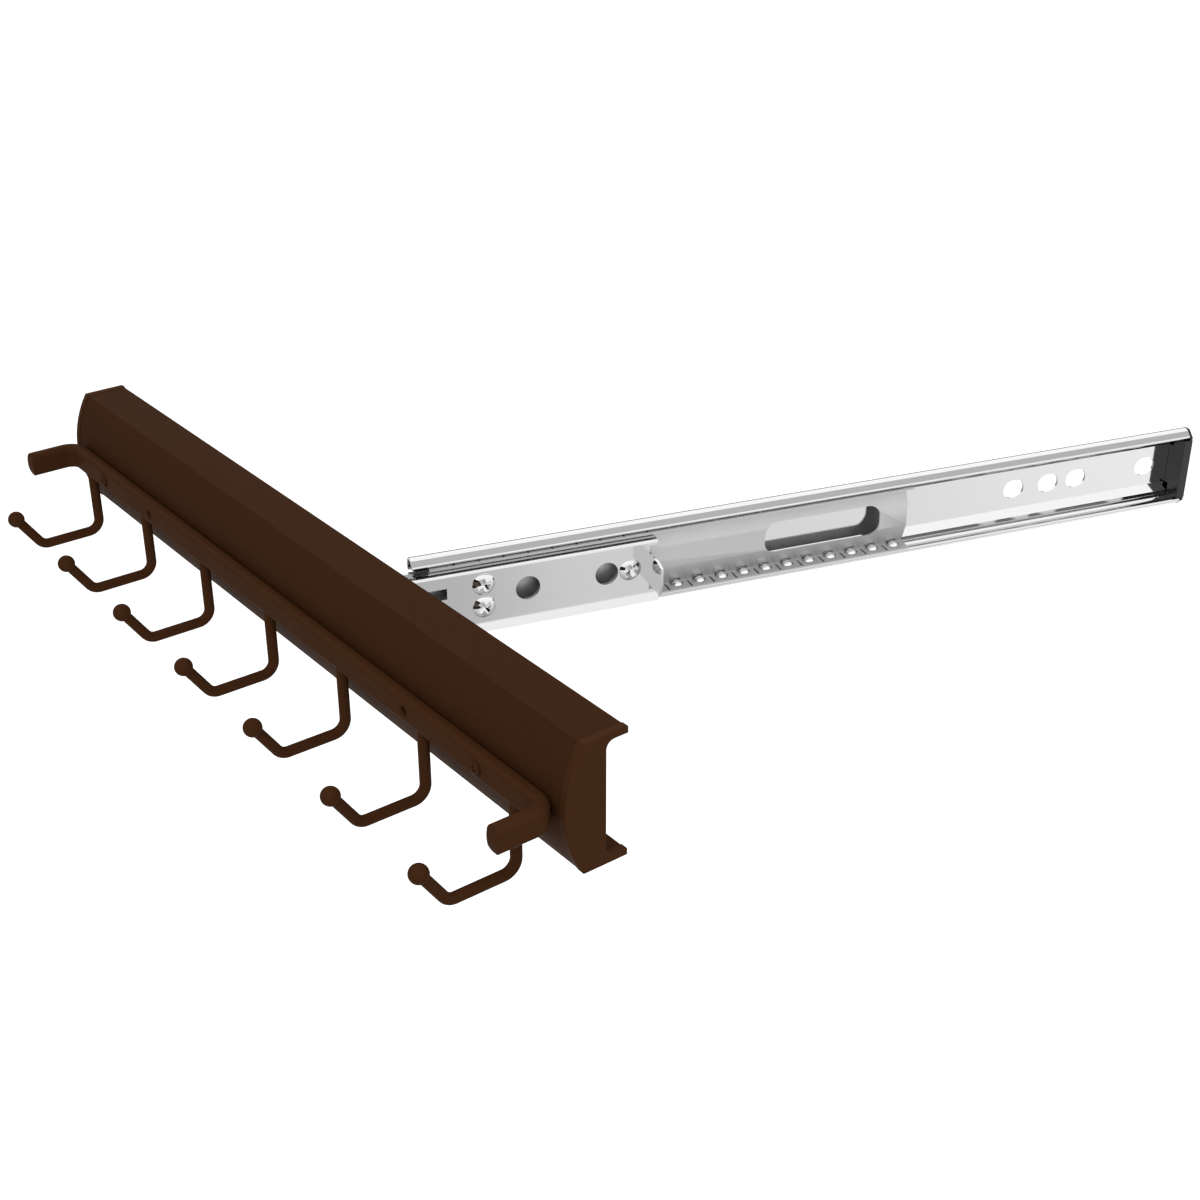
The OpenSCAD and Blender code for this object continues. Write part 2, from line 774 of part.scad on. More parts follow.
// A hook rod in the plane [forward, up] around the rod's top at zero
module hook_rod() {
    rod_r = rod_d / 2;
    tip_cut = hook_bend_r * tan(hook_tip_angle / 2);
    run_len = hook_run - hook_bend_r - tip_cut;
    rise = hook_drop - hook_bend_r;
    translate([0, 0, -rise]) cylinder(h = rise, r = rod_r);
    translate([0, -hook_bend_r, -rise]) rotate([0, 90, 0])
        rotate_extrude(angle = 90) translate([hook_bend_r, 0]) circle(r = rod_r);
    translate([0, -hook_bend_r, -hook_drop]) rotate([90, 0, 0]) cylinder(h = run_len, r = rod_r);
    translate([0, -hook_bend_r - run_len, -rise]) {
        mirror([0, 1, 0]) rotate([0, 90, 0]) rotate_extrude(angle = hook_tip_angle)
            translate([hook_bend_r, 0]) circle(r = rod_r);
        rotate([-hook_tip_angle, 0, 0]) translate([0, seam, -hook_bend_r]) rotate([90, 0, 0]) {
            cylinder(h = hook_tip_len - tip_cut + seam, r = rod_r + seam);
            translate([0, 0, hook_tip_len - tip_cut + seam]) sphere(r = hook_ball_d / 2, $fn = 48);
        }
    }
}

// Hook number 1 is at the far end of the bar and number 7 at the near end
module hook(number) {
    color("#40281B") on_bar() translate([0, 0, -rail_low]) difference() {
        translate([bar_mid_x + (number - 4) * hook_pitch, rod_plane_y, 0]) hook_rod();
        rail_run(running_gap);
    }
}

channel();
rear_stop();
upper_front_stop();
lower_front_stop();
ball_cage();
upper_balls();
lower_balls();
carriage();
hinge_strap();
front_carriage_screws();
rear_carriage_screw();
hinge_pin();
hinge_washers();
bar_hinge_leaf();
leaf_screws();
bar_profile();
near_end_cap();
far_end_cap();
hook_rail();
rail_screws();
hook(1);  // hook_1
hook(2);  // hook_2
hook(3);  // hook_3
hook(4);  // hook_4
hook(5);  // hook_5
hook(6);  // hook_6
hook(7);  // hook_7
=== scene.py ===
"""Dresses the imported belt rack: rounded edges, modelled hooks and screws, finishes, light and a camera."""

import json
import math

import bmesh
import bpy
from bpy.props import FloatProperty, FloatVectorProperty, IntProperty, PointerProperty
from mathutils import Matrix, Vector

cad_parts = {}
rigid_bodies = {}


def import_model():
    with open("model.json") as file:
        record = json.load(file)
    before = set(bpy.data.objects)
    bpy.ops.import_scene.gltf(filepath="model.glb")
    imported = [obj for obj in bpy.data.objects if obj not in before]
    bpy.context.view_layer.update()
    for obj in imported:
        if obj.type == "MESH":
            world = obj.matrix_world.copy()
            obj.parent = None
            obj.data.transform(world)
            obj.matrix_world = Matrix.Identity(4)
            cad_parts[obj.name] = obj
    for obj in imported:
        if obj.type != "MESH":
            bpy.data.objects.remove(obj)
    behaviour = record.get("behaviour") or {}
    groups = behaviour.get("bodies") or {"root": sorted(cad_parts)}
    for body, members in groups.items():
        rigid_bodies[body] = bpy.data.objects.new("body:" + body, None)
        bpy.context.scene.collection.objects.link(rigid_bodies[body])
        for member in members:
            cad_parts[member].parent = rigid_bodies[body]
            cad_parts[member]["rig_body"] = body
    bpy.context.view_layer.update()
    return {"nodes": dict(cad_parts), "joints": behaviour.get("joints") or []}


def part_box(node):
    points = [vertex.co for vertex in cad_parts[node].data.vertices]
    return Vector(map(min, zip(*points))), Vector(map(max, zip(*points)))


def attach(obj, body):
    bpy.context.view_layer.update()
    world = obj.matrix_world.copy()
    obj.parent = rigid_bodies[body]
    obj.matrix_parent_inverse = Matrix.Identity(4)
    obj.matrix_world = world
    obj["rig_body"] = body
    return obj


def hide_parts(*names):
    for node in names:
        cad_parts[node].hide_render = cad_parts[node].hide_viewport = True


bl_info = {
    "name": "Swivel belt rack",
    "version": (1, 0, 0),
    "blender": (4, 5, 0),
    "location": "View3D > Sidebar > Belt rack",
    "description": "Dresses the packed belt rack with modelled edges, finishes, light and a camera",
    "category": "Object",
}

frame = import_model()
swivel = next(joint for joint in frame["joints"] if joint["name"] == "swivel")


def linear(code):
    """Turns an sRGB hex colour into the linear values that shaders take."""
    parts = [int(code[i : i + 2], 16) / 255 for i in (1, 3, 5)]
    return [p / 12.92 if p <= 0.04045 else ((p + 0.055) / 1.055) ** 2.4 for p in parts]


def length(name, about, default):
    """A length that the sidebar shows in scene units."""
    return FloatProperty(
        name=name, description=about, default=default, min=0, subtype="DISTANCE", unit="LENGTH", precision=5
    )


def tilt(name, about, degrees):
    """An angle that the sidebar shows in degrees."""
    return FloatProperty(
        name=name, description=about, default=math.radians(degrees), subtype="ANGLE", unit="ROTATION"
    )


def colour(name, about, code):
    """A finish colour that the sidebar shows as a swatch."""
    return FloatVectorProperty(
        name=name, description=about, default=linear(code), size=3, min=0, max=1, subtype="COLOR"
    )


class BeltRackSizes(bpy.types.PropertyGroup):
    bar_turn: tilt("Bar turn", "Angle from the bar's square position to where it stands", 16.5)
    pivot_from_end: length("Pivot from end", "Distance of the pin from the near cap's outer face", 0.1323)
    pivot_depth: length("Pivot depth", "Distance of the pin behind the front corner of the cap", 0.0143)
    bar_length: length("Bar length", "Length of the bar over both end caps", 0.350)
    crest: length("Crest", "How far the bowed front stands ahead of the corner of the end cap", 0.0065)
    rail_thickness: length("Rail thickness", "Thickness of the hook rail", 0.0055)
    rail_low: length("Rail low", "How far the rail lies below the middle of the bar", 0.0003)
    hook_pitch: length("Hook pitch", "Distance between neighbouring hooks", 0.0512)
    hook_count: IntProperty(name="Hooks", description="Number of hooks on the rail", default=7, min=1)
    rod_diameter: length("Rod diameter", "Diameter of the hook rod", 0.004)
    hook_drop: length("Hook drop", "Height from the middle of the rail down to the rod's level run", 0.0291)
    hook_run: length("Hook run", "Length of the level run between its two bends", 0.0254)
    hook_bend: length("Hook bend", "Radius of the rod's centre line in its bends", 0.005)
    tip_angle: tilt("Tip angle", "Angle at which the hook's tip rises", 56)
    tip_length: length("Tip length", "Length of the tip from its bend point to the ball's middle", 0.0172)
    hook_ball: length("Hook ball", "Diameter of the ball on the tip", 0.0067)
    screw_head: length("Screw head", "Diameter of a carriage screw's head", 0.0088)
    screw_dome: length("Screw dome", "Height of a carriage screw's domed head", 0.0019)
    recess_width: length("Recess width", "Width of the cross recess's arms", 0.0019)
    recess_length: length("Recess length", "Length of the cross recess over its arms", 0.0058)
    recess_depth: length("Recess depth", "Depth of the cross recess", 0.0015)
    top_roll: length("Top roll", "Radius between the channel's top and its lip", 0.0009)
    lip_roll: length("Lip roll", "Radius on the tip of the channel's lip", 0.0008)
    lip_fall: length("Lip fall", "Height from the channel's top down to the tip of its lip", 0.00278)


class BeltRackColours(bpy.types.PropertyGroup):
    bar: colour("Bar", "Bronze powder coat of the bar", "#392213")
    cap: colour("Cap", "Moulded end caps", "#3F2615")
    rod: colour("Hooks", "Bronze powder coat of the rail and the hooks", "#3E2514")
    steel: colour("Steel", "Bright zinc plate of the slide", "#CFCFCF")
    cage: colour("Cage", "Dull zinc of the ball cage and the strap", "#BCBCBC")
    ball: colour("Balls", "Ground bearing steel", "#E6E6E7")
    plastic: colour("Plastic", "Black moulded stops", "#161616")
    nylon: colour("Nylon", "White washers", "#E4E2DA")
    # The leaf's dark grey is painted shade: it darkens the hinge leaf for the shade it sits in under the bar
    leaf: colour("Leaf", "Dark plated hinge leaf", "#5A554F")


def sizes():
    return bpy.context.scene.belt_rack_sizes


def colours():
    return bpy.context.scene.belt_rack_colours


# Materials


def add(tree, kind, inputs=None, **settings):
    """Adds one shader node with its settings, its values and its links."""
    made = tree.nodes.new(kind)
    for name, value in settings.items():
        setattr(made, name, value)
    for name, value in (inputs or {}).items():
        if isinstance(value, bpy.types.NodeSocket):
            tree.links.new(value, made.inputs[name])
        else:
            made.inputs[name].default_value = value
    return made


def material(name):
    """An empty material with its output, to build a finish in."""
    made = bpy.data.materials.new(name)
    made.use_nodes = True
    made.node_tree.nodes.clear()
    return made, made.node_tree


def shade(value, factor):
    """A colour made lighter or darker by a factor."""
    return [*(min(1, part * factor) for part in value[:3]), 1]


def blend(tree, share, low, high):
    """A colour between two others, by a pattern."""
    made = add(tree, "ShaderNodeMix", {"Factor": share, "A": low, "B": high}, data_type="RGBA")
    return made.outputs["Result"]


def spread(tree, value, low, high, start=0, end=1):
    """A pattern spread from one range to another."""
    ends = {"From Min": start, "From Max": end, "To Min": low, "To Max": high}
    return add(tree, "ShaderNodeMapRange", {"Value": value, **ends}).outputs[0]


def relief(tree, height, strength, distance):
    """A fine relief in the surface."""
    made = add(tree, "ShaderNodeBump", {"Height": height, "Strength": strength, "Distance": distance})
    return made.outputs[0]


def close_material(tree, inputs):
    """Closes a material with its surface shader."""
    shader = add(tree, "ShaderNodeBsdfPrincipled", inputs)
    add(tree, "ShaderNodeOutputMaterial", {"Surface": shader.outputs[0]})


def powder_coat(name, base, roughness, specular):
    """Polyester powder baked on metal.

    The eye sees a soft satin sheen over a faint orange peel, with a fine mottle in the pigment."""
    made, tree = material(name)
    place = add(tree, "ShaderNodeTexCoord").outputs["Object"]
    peel = add(tree, "ShaderNodeTexNoise", {"Vector": place, "Scale": 900, "Detail": 2}).outputs[0]
    grains = {"Vector": place, "Scale": 420, "Detail": 4, "Roughness": 0.7}
    mottle = add(tree, "ShaderNodeTexNoise", grains).outputs[0]
    cloud = add(tree, "ShaderNodeTexNoise", {"Vector": place, "Scale": 26, "Detail": 2}).outputs[0]
    pigment = blend(tree, mottle, shade(base, 0.86), shade(base, 1.14))
    rough = spread(tree, cloud, roughness - 0.04, roughness + 0.05)
    bump = relief(tree, peel, 0.22, 0.00006)
    sheen = {"Roughness": rough, "Specular IOR Level": specular}
    close_material(tree, {"Base Color": pigment, "Normal": bump, **sheen})
    return made


def moulded_plastic(name, base, roughness, specular, grain):
    """Injection moulded plastic: an even colour with the fine spark-eroded grain of its mould."""
    made, tree = material(name)
    place = add(tree, "ShaderNodeTexCoord").outputs["Object"]
    texture = add(tree, "ShaderNodeTexVoronoi", {"Vector": place, "Scale": grain}).outputs["Distance"]
    tone = add(tree, "ShaderNodeTexNoise", {"Vector": place, "Scale": 120, "Detail": 3}).outputs[0]
    pigment = blend(tree, tone, shade(base, 0.93), shade(base, 1.07))
    bump = relief(tree, texture, 0.15, 0.00004)
    sheen = {"Roughness": roughness, "Specular IOR Level": specular}
    close_material(tree, {"Base Color": pigment, "Normal": bump, **sheen})
    return made


def plated_steel(name, base, roughness, streak, metallic=1):
    """Cold-rolled strip with a bright plate: near mirror gloss, slightly dull by rolling lines along it.

    A plate that is left dull scatters part of its light, so its metallic value is lower."""
    made, tree = material(name)
    place = add(tree, "ShaderNodeTexCoord").outputs["Object"]
    along = add(tree, "ShaderNodeMapping", {"Vector": place, "Scale": (1, 0.012, 1)}).outputs[0]
    lines = add(tree, "ShaderNodeTexNoise", {"Vector": along, "Scale": 2600, "Detail": 3}).outputs[0]
    haze = add(tree, "ShaderNodeTexNoise", {"Vector": place, "Scale": 60, "Detail": 3}).outputs[0]
    tint = blend(tree, lines, shade(base, 0.97), shade(base, 1.0))
    rough = spread(tree, haze, roughness * 0.8, roughness * 1.25)
    bump = relief(tree, lines, streak, 0.00001)
    close_material(tree, {"Base Color": tint, "Metallic": metallic, "Roughness": rough, "Normal": bump})
    return made


def finishes():
    """Makes each finish once and returns them by name."""
    kept = {m.name: m for m in bpy.data.materials}
    if "powder_coated_aluminium" in kept:
        return kept
    c = colours()
    powder_coat("powder_coated_aluminium", c.bar, 0.5, 0.011)
    powder_coat("powder_coated_steel", c.rod, 0.45, 0.011)
    moulded_plastic("moulded_abs_cap", c.cap, 0.5, 0.015, 1500)
    moulded_plastic("moulded_black_acetal", c.plastic, 0.25, 0.35, 1500)
    moulded_plastic("moulded_white_nylon", c.nylon, 0.5, 0.3, 1500)
    plated_steel("bright_zinc_steel", c.steel, 0.07, 0.2)
    plated_steel("dull_zinc_steel", c.cage, 0.4, 0.1, 0.6)
    plated_steel("ground_ball_steel", c.ball, 0.05, 0)
    # Painted shade: the hinge leaf and its screws get a steel darkened for the shade under the bar
    plated_steel("dark_plated_steel", c.leaf, 0.3, 0.3)
    return {m.name: m for m in bpy.data.materials}


# Shapes

# Vertices closer than this are one vertex
MERGE = 2e-6
# Faces within this angle of each other are one flat face
FLAT = math.radians(0.4)
# Largest miss in height of an edge that is rolled, shortest such edge, and the depth that it lies beyond
ROLL_MISS, ROLL_LENGTH, ROLL_DEPTH = 0.0001, 0.02, 0.004


def bar_place():
    """The bar's own frame: X from the near cap's outer face, Y from the cap's front corner, Z centred."""
    s = sizes()
    return (
        Matrix.Translation(swivel["pos_m"])
        @ Matrix.Rotation(s.bar_turn, 4, "Z")
        @ Matrix.Translation((s.pivot_from_end, -s.pivot_depth, 0))
    )


def place_piece(bm, name, finish, nodes, sharp=35):
    """Turns a bmesh into a piece that rides with its CAD node's body and stands for the nodes given."""
    mesh = bpy.data.meshes.new(name)
    for face in bm.faces:
        face.smooth = True
    bm.to_mesh(mesh)
    bm.free()
    mesh.set_sharp_from_angle(angle=math.radians(sharp))
    mesh.materials.append(finishes()[finish])
    piece = bpy.data.objects.new(name, mesh)
    bpy.context.scene.collection.objects.link(piece)
    weighted = piece.modifiers.new("even shading", "WEIGHTED_NORMAL")
    weighted.keep_sharp = True
    weighted.weight = 80
    body = frame["nodes"][nodes[0]]["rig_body"]
    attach(piece, body)
    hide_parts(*nodes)
    return piece


def eased(node, finish, radius, segments=2, limit=32, rolled=()):
    """Copies a CAD node, merges its triangles and rounds its sharp edges as a press, mould or coat does.

    Rolled holds heights and radii: the long edges at that height from the middle bend with that radius."""
    bm = bmesh.new()
    bm.from_mesh(frame["nodes"][node].data)
    bmesh.ops.remove_doubles(bm, verts=bm.verts, dist=MERGE)
    bmesh.ops.dissolve_limit(bm, angle_limit=FLAT, verts=bm.verts, edges=bm.edges)
    for height, rolled_radius in rolled:
        level = [e for e in bm.edges if all(abs(abs(v.co.z) - height) < ROLL_MISS for v in e.verts)]
        long = [e for e in level if e.calc_length() > ROLL_LENGTH and e.verts[0].co.x > ROLL_DEPTH]
        bevel(bm, [e for e in long if sharp_edge(e, limit)], rolled_radius, 8)
    bevel(bm, [e for e in bm.edges if sharp_edge(e, limit)], radius, segments)
    return place_piece(bm, node + "_eased", finish, [node])


def sharp_edge(edge, limit):
    """Whether two faces meet on the edge at more than the limit in degrees."""
    return len(edge.link_faces) == 2 and edge.calc_face_angle(0) > math.radians(limit)


def bevel(bm, edges, radius, segments):
    """Rounds edges evenly."""
    bmesh.ops.bevel(
        bm,
        geom=edges,
        offset=radius,
        offset_type="OFFSET",
        segments=segments,
        profile=0.5,
        affect="EDGES",
        clamp_overlap=True,
        material=-1,
    )


def sweep(bm, ring, steps):
    """Draws a ring of vertices along straight steps and bends, and returns the last ring."""
    for kind, *how in steps:
        if kind == "run":
            made = bmesh.ops.extrude_edge_only(bm, edges=ring)["geom"]
            moved = [g for g in made if isinstance(g, bmesh.types.BMVert)]
            bmesh.ops.translate(bm, verts=moved, vec=how[0])
        else:
            centre, axis, angle, count = how
            turned = bmesh.ops.spin(bm, geom=ring, cent=centre, axis=axis, angle=angle, steps=count)
            made = turned["geom_last"]
        ring = [g for g in made if isinstance(g, bmesh.types.BMEdge)]
    return ring


def hook_shape():
    """One hook: a rod that drops from the rail, runs forward, rises and ends in a ball."""
    s = sizes()
    rod = s.rod_diameter / 2
    cut = s.hook_bend * math.tan(s.tip_angle / 2)
    neck = 0.4  # The rod ends inside the ball, this share of its diameter short of its middle
    bm = bmesh.new()
    ring = bmesh.ops.create_circle(bm, segments=24, radius=rod)["verts"]
    start = list(dict.fromkeys(e for v in ring for e in v.link_edges))
    top = -0.003  # The rod starts below the rail's middle, inside the rail
    bmesh.ops.translate(bm, verts=ring, vec=(0, 0, top))
    run = s.hook_run - s.hook_bend - cut
    out = s.hook_bend + run
    rise = Vector((0, -math.cos(s.tip_angle), math.sin(s.tip_angle)))
    last = sweep(
        bm,
        start,
        [
            ("run", (0, 0, -(s.hook_drop - s.hook_bend) - top)),
            ("bend", (0, -s.hook_bend, -(s.hook_drop - s.hook_bend)), (1, 0, 0), -math.pi / 2, 10),
            ("run", (0, -run, 0)),
            ("bend", (0, -out, -(s.hook_drop - s.hook_bend)), (1, 0, 0), -s.tip_angle, 8),
            ("run", rise * (s.tip_length - cut - s.hook_ball * neck)),
        ],
    )
    bmesh.ops.contextual_create(bm, geom=last)
    tip = Vector((0, -s.hook_run, -s.hook_drop)) + rise * s.tip_length
    ball = bmesh.ops.create_uvsphere(bm, u_segments=32, v_segments=20, radius=s.hook_ball / 2)["verts"]
    turn = Vector((0, 0, 1)).rotation_difference(rise).to_matrix().to_4x4()
    bmesh.ops.transform(bm, matrix=Matrix.Translation(tip) @ turn, verts=ball)
    bmesh.ops.contextual_create(bm, geom=start)
    bmesh.ops.recalc_face_normals(bm, faces=bm.faces)
    return bm


def screw_head():
    """A domed screw head with a tapered cross recess, upright with its seat at zero."""
    s = sizes()
    radius, rise = s.screw_head / 2, s.screw_dome
    floor_sink, floor_slope, floor_taper, edge_radius = 0.0002, 0.6, 0.86, 0.00012
    dome = (radius**2 + rise**2) / (2 * rise)
    bm = bmesh.new()
    start = bm.verts.new((radius, 0, 0))
    half = math.asin(radius / dome)
    bmesh.ops.spin(bm, geom=[start], cent=(0, 0, rise - dome), axis=(0, -1, 0), angle=half, steps=16)
    curve = list(bm.edges)
    bmesh.ops.spin(bm, geom=curve, cent=(0, 0, 0), axis=(0, 0, 1), angle=math.tau, steps=64, use_merge=True)
    bmesh.ops.remove_doubles(bm, verts=bm.verts, dist=MERGE)
    width, reach = s.recess_width / 2, s.recess_length / 2
    for normal, offset in (((1, 0, 0), width), ((1, 0, 0), reach), ((0, 1, 0), width), ((0, 1, 0), reach)):
        for side in (-1, 1):
            place = Vector(normal) * offset * side
            everything = [*bm.verts, *bm.edges, *bm.faces]
            bmesh.ops.bisect_plane(bm, geom=everything, dist=1e-7, plane_co=place, plane_no=normal)
    arms = []
    for face in bm.faces:
        x, y, _ = (abs(part) for part in face.calc_center_median())
        if min(x, y) < width and max(x, y) < reach:
            arms.append(face)
    sunk = bmesh.ops.extrude_face_region(bm, geom=arms)["geom"]
    bmesh.ops.delete(bm, geom=arms, context="FACES")
    floor = [part for part in sunk if isinstance(part, bmesh.types.BMVert)]
    for vert in floor:
        deep = s.recess_depth * (1 - floor_slope * min(1, vert.co.xy.length / reach))
        vert.co.z = rise - floor_sink - deep
        vert.co.xy *= floor_taper
    rim = [e for e in bm.edges if e.is_boundary]
    bmesh.ops.contextual_create(bm, geom=rim)
    bmesh.ops.recalc_face_normals(bm, faces=bm.faces)
    bevel(bm, [e for e in bm.edges if sharp_edge(e, 40)], edge_radius, 2)
    return bm


class BELTRACK_OT_bar(bpy.types.Operator):
    """Dress the extruded bar and its two end caps"""

    bl_idname = "beltrack.bar"
    bl_label = "Bar and end caps"

    def execute(self, context):
        eased("bar_profile", "powder_coated_aluminium", 0.0004, 3)
        for node in ("near_end_cap", "far_end_cap"):
            eased(node, "moulded_abs_cap", 0.0003, 3)
        return {"FINISHED"}


class BELTRACK_OT_rail(bpy.types.Operator):
    """Dress the hook rail and its screws"""

    bl_idname = "beltrack.rail"
    bl_label = "Hook rail"

    def execute(self, context):
        eased("hook_rail", "powder_coated_steel", 0.0011, 4)
        eased("rail_screws", "powder_coated_steel", 0.00012)
        return {"FINISHED"}


class BELTRACK_OT_hooks(bpy.types.Operator):
    """Bend and dress the row of hooks"""

    bl_idname = "beltrack.hooks"
    bl_label = "Hooks"

    def execute(self, context):
        s = sizes()
        rail_gap, weld_sink = 0.00005, 0.00015
        depth = -s.crest - rail_gap - s.rail_thickness + s.rod_diameter / 2 + weld_sink
        middle = (s.hook_count + 1) / 2
        for number in range(1, s.hook_count + 1):
            bm = hook_shape()
            along = -s.bar_length / 2 + (number - middle) * s.hook_pitch
            bm.transform(bar_place() @ Matrix.Translation((along, depth, -s.rail_low)))
            hook = f"hook_{number}"
            place_piece(bm, hook + "_rod", "powder_coated_steel", [hook], 50)
        return {"FINISHED"}


class BELTRACK_OT_slide(bpy.types.Operator):
    """Dress the channel, the ball cage and the carriage"""

    bl_idname = "beltrack.slide"
    bl_label = "Slide"

    def execute(self, context):
        s = sizes()
        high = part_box("channel")[1]
        rolled = ((high[2], s.top_roll), (high[2] - s.lip_fall, s.lip_roll))
        eased("channel", "bright_zinc_steel", 0.0002, rolled=rolled)
        eased("ball_cage", "dull_zinc_steel", 0.0001)
        eased("carriage", "bright_zinc_steel", 0.0002)
        for node in ("upper_balls", "lower_balls"):
            frame["nodes"][node].data.materials.clear()
            frame["nodes"][node].data.materials.append(finishes()["ground_ball_steel"])
        return {"FINISHED"}


class BELTRACK_OT_stops(bpy.types.Operator):
    """Dress the moulded stops of the slide"""

    bl_idname = "beltrack.stops"
    bl_label = "Stops"

    def execute(self, context):
        for node in ("rear_stop", "upper_front_stop", "lower_front_stop"):
            eased(node, "moulded_black_acetal", 0.0003, 3)
        return {"FINISHED"}


class BELTRACK_OT_hinge(bpy.types.Operator):
    """Dress the swivel hinge, its pin and its washers"""

    bl_idname = "beltrack.hinge"
    bl_label = "Swivel hinge"

    def execute(self, context):
        eased("hinge_strap", "dull_zinc_steel", 0.0003)
        eased("hinge_pin", "bright_zinc_steel", 0.0004, 3)
        eased("hinge_washers", "moulded_white_nylon", 0.0001)
        # The leaf and its screws take the steel that is darkened with painted shade
        eased("bar_hinge_leaf", "dark_plated_steel", 0.0004, 3)
        eased("leaf_screws", "dark_plated_steel", 0.00015)
        return {"FINISHED"}


class BELTRACK_OT_screws(bpy.types.Operator):
    """Dress the carriage's cross-head screws"""

    bl_idname = "beltrack.screws"
    bl_label = "Carriage screws"

    def execute(self, context):
        for node, turns in (("front_carriage_screws", (20, 38)), ("rear_carriage_screw", (28,))):
            low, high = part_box(node)
            seat = high[0] - sizes().screw_dome
            bm = bmesh.new()
            for index, turn in enumerate(turns):
                head = screw_head()
                reach = sizes().screw_head / 2
                height = high[2] - reach if index == 0 else low[2] + reach
                place = Matrix.Translation((seat, (low[1] + high[1]) / 2, height))
                facing = Matrix.Rotation(math.pi / 2, 4, "Y")
                head.transform(place @ facing @ Matrix.Rotation(math.radians(turn), 4, "Z"))
                held = bpy.data.meshes.new("head")
                head.to_mesh(held)
                head.free()
                bm.from_mesh(held)
                bpy.data.meshes.remove(held)
            place_piece(bm, node + "_heads", "bright_zinc_steel", [node], 40)
        return {"FINISHED"}


def area_lamp(name, place, target, size, power):
    """A square soft box that looks at a point."""
    lamp = bpy.data.lights.new(name, "AREA")
    lamp.shape = "SQUARE"
    lamp.size = size
    lamp.energy = power
    made = bpy.data.objects.new(name, lamp)
    made.location = place
    made.rotation_euler = (Vector(target) - Vector(place)).to_track_quat("-Z", "Y").to_euler()
    made.visible_glossy = False
    bpy.context.scene.collection.objects.link(made)


# What gloss sees round the slide, from behind over below, the front and above: share of the turn, grey
BANDS = (
    (0, 0.2),
    (0.05, 0.35),
    (0.12, 0.6),
    (0.19, 0.95),
    (0.22, 0.95),
    (0.25, 0.5),
    (0.333, 0.56),
    (0.389, 0.77),
    (0.42, 0.91),
    (0.556, 0.91),
    (0.62, 1),
    (0.645, 1),
    (0.658, 0.48),
    (0.695, 0.48),
    (0.712, 1),
    (0.932, 1),
    (0.943, 0.2),
    (1, 0.2),
)
# How light the lower part of the room is from the bar's end to the rear end: share of the length, grey
ENDS = (
    (0, 0.9),
    (0.52, 0.9),
    (0.58, 0.55),
    (0.623, 0.52),
    (0.651, 0.7),
    (0.745, 0.85),
    (0.785, 0.965),
    (0.8, 0.985),
    (1, 1),
)


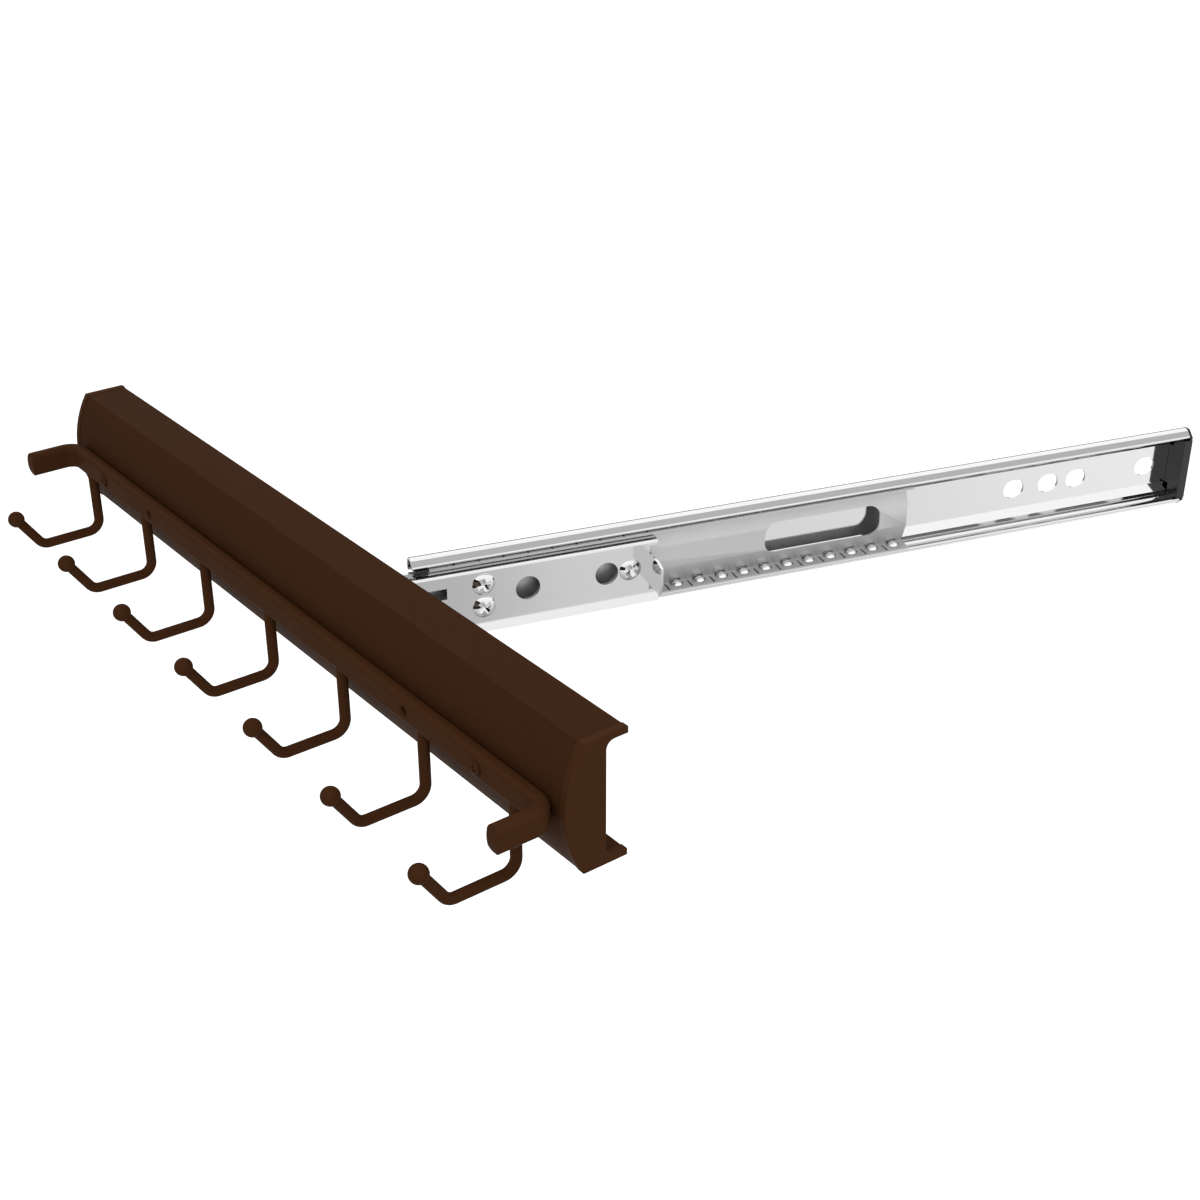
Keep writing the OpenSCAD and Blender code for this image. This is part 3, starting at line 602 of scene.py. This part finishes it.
class BELTRACK_OT_stage(bpy.types.Operator):
    """Set the floor, the light and the camera"""

    bl_idname = "beltrack.stage"
    bl_label = "Stage"

    def execute(self, context):
        scene = context.scene
        scene.view_settings.view_transform = "Standard"
        self.room()
        self.floor()
        area_lamp("key_softbox", (0.9, -0.5, 1.2), (0, 0, 0), 1.2, 9)
        area_lamp("fill_softbox", (0.5, 1.1, 0.5), (0, 0, 0), 1.0, 4)
        camera = bpy.data.cameras.new("camera")
        camera.sensor_width = 36
        camera.lens = 53.788
        camera.clip_start = 0.01
        made = bpy.data.objects.new("camera", camera)
        made.location = (0.56302, -0.19288, 0.30381)
        made.rotation_euler = (math.radians(62.032), math.radians(-0.05), math.radians(68.708))
        scene.collection.objects.link(made)
        scene.camera = made
        return {"FINISHED"}

    def room(self):
        """A white room that gloss sees in bands along the slide, like soft boxes along a long product."""
        world = bpy.data.worlds.new("white room")
        bpy.context.scene.world = world
        world.use_nodes = True
        tree = world.node_tree
        tree.nodes.clear()
        way = add(tree, "ShaderNodeTexCoord").outputs["Generated"]
        parts = add(tree, "ShaderNodeSeparateXYZ", {"Vector": way}).outputs
        turn = add(tree, "ShaderNodeMath", {0: parts["Z"], 1: parts["X"]}, operation="ARCTAN2").outputs[0]
        bands = self.ramp(tree, spread(tree, turn, 0, 1, -math.pi, math.pi), BANDS)
        ends = self.ramp(tree, spread(tree, parts["Y"], 0, 1, -1, 1), ENDS)
        low = spread(tree, parts["Z"], 1, 0, -0.3, -0.2)
        both = {0: low, "A": bands, "B": ends}
        shown = add(tree, "ShaderNodeMix", both, data_type="RGBA", blend_type="MULTIPLY").outputs["Result"]
        daylight = spread(tree, parts["Z"], 0.44, 0.8, -1, 1)
        path = add(tree, "ShaderNodeLightPath").outputs
        lit = add(tree, "ShaderNodeBackground", {"Color": (1, 1, 1, 1), "Strength": daylight}).outputs[0]
        gloss = add(tree, "ShaderNodeBackground", {"Color": shown, "Strength": 1.5}).outputs[0]
        white = add(tree, "ShaderNodeBackground", {"Color": (1, 1, 1, 1), "Strength": 1}).outputs[0]
        first = add(tree, "ShaderNodeMixShader", {0: path["Is Glossy Ray"], 1: lit, 2: gloss}).outputs[0]
        direct = {0: path["Is Camera Ray"], 1: path["Is Transmission Ray"]}
        seen = add(tree, "ShaderNodeMath", direct, operation="MAXIMUM").outputs[0]
        last = add(tree, "ShaderNodeMixShader", {0: seen, 1: first, 2: white}).outputs[0]
        add(tree, "ShaderNodeOutputWorld", {"Surface": last})

    def ramp(self, tree, share, stops):
        """A grey ramp through the given places and values."""
        made = add(tree, "ShaderNodeValToRGB", {"Fac": share})
        elements = made.color_ramp.elements
        elements.remove(elements[1])
        for index, (at, value) in enumerate(stops):
            stop = elements[0] if index == 0 else elements.new(at)
            stop.position = at
            stop.color = (value, value, value, 1)
        return made.outputs["Color"]

    def floor(self):
        """A matt white floor well below the rack, which hangs on a cabinet side.

        Its lit part meets the white room and its shadow stays."""
        bm = bmesh.new()
        bmesh.ops.create_grid(bm, x_segments=1, y_segments=1, size=6)
        bmesh.ops.translate(bm, verts=bm.verts, vec=(0, 0, -0.45))
        mesh = bpy.data.meshes.new("floor")
        bm.to_mesh(mesh)
        bm.free()
        made, tree = material("matt_white_floor")
        path = add(tree, "ShaderNodeLightPath").outputs
        matt = add(tree, "ShaderNodeBsdfDiffuse", {"Color": (0.8, 0.8, 0.8, 1)}).outputs[0]
        lift = add(tree, "ShaderNodeEmission", {"Color": (1, 1, 1, 1), "Strength": 0.55}).outputs[0]
        both = add(tree, "ShaderNodeAddShader", {0: matt, 1: lift}).outputs[0]
        pick = add(tree, "ShaderNodeMixShader", {0: path["Is Camera Ray"], 1: matt, 2: both}).outputs[0]
        add(tree, "ShaderNodeOutputMaterial", {"Surface": pick})
        mesh.materials.append(made)
        floor = bpy.data.objects.new("floor", mesh)
        floor.visible_glossy = False
        bpy.context.scene.collection.objects.link(floor)


class BELTRACK_PT_panel(bpy.types.Panel):
    """Lists the rack's sizes, colours and steps"""

    bl_idname = "BELTRACK_PT_panel"
    bl_label = "Belt rack"
    bl_space_type = "VIEW_3D"
    bl_region_type = "UI"
    bl_category = "Belt rack"

    def draw(self, context):
        for group in (context.scene.belt_rack_sizes, context.scene.belt_rack_colours):
            box = self.layout.box()
            for name in group.bl_rna.properties.keys():
                if name not in ("rna_type", "name"):
                    box.prop(group, name)
        for step in STEPS:
            self.layout.operator(step.bl_idname)


STEPS = (
    BELTRACK_OT_bar,
    BELTRACK_OT_rail,
    BELTRACK_OT_hooks,
    BELTRACK_OT_slide,
    BELTRACK_OT_stops,
    BELTRACK_OT_hinge,
    BELTRACK_OT_screws,
    BELTRACK_OT_stage,
)
CLASSES = (BeltRackSizes, BeltRackColours, *STEPS, BELTRACK_PT_panel)


def register():
    for made in CLASSES:
        bpy.utils.register_class(made)
    bpy.types.Scene.belt_rack_sizes = PointerProperty(type=BeltRackSizes)
    bpy.types.Scene.belt_rack_colours = PointerProperty(type=BeltRackColours)


def unregister():
    del bpy.types.Scene.belt_rack_colours
    del bpy.types.Scene.belt_rack_sizes
    for made in reversed(CLASSES):
        bpy.utils.unregister_class(made)


def main():
    register()
    bpy.ops.beltrack.bar()
    bpy.ops.beltrack.rail()
    bpy.ops.beltrack.hooks()
    bpy.ops.beltrack.slide()
    bpy.ops.beltrack.stops()
    bpy.ops.beltrack.hinge()
    bpy.ops.beltrack.screws()
    bpy.ops.beltrack.stage()
    bpy.context.view_layer.update()


if __name__ == "__main__":
    main()
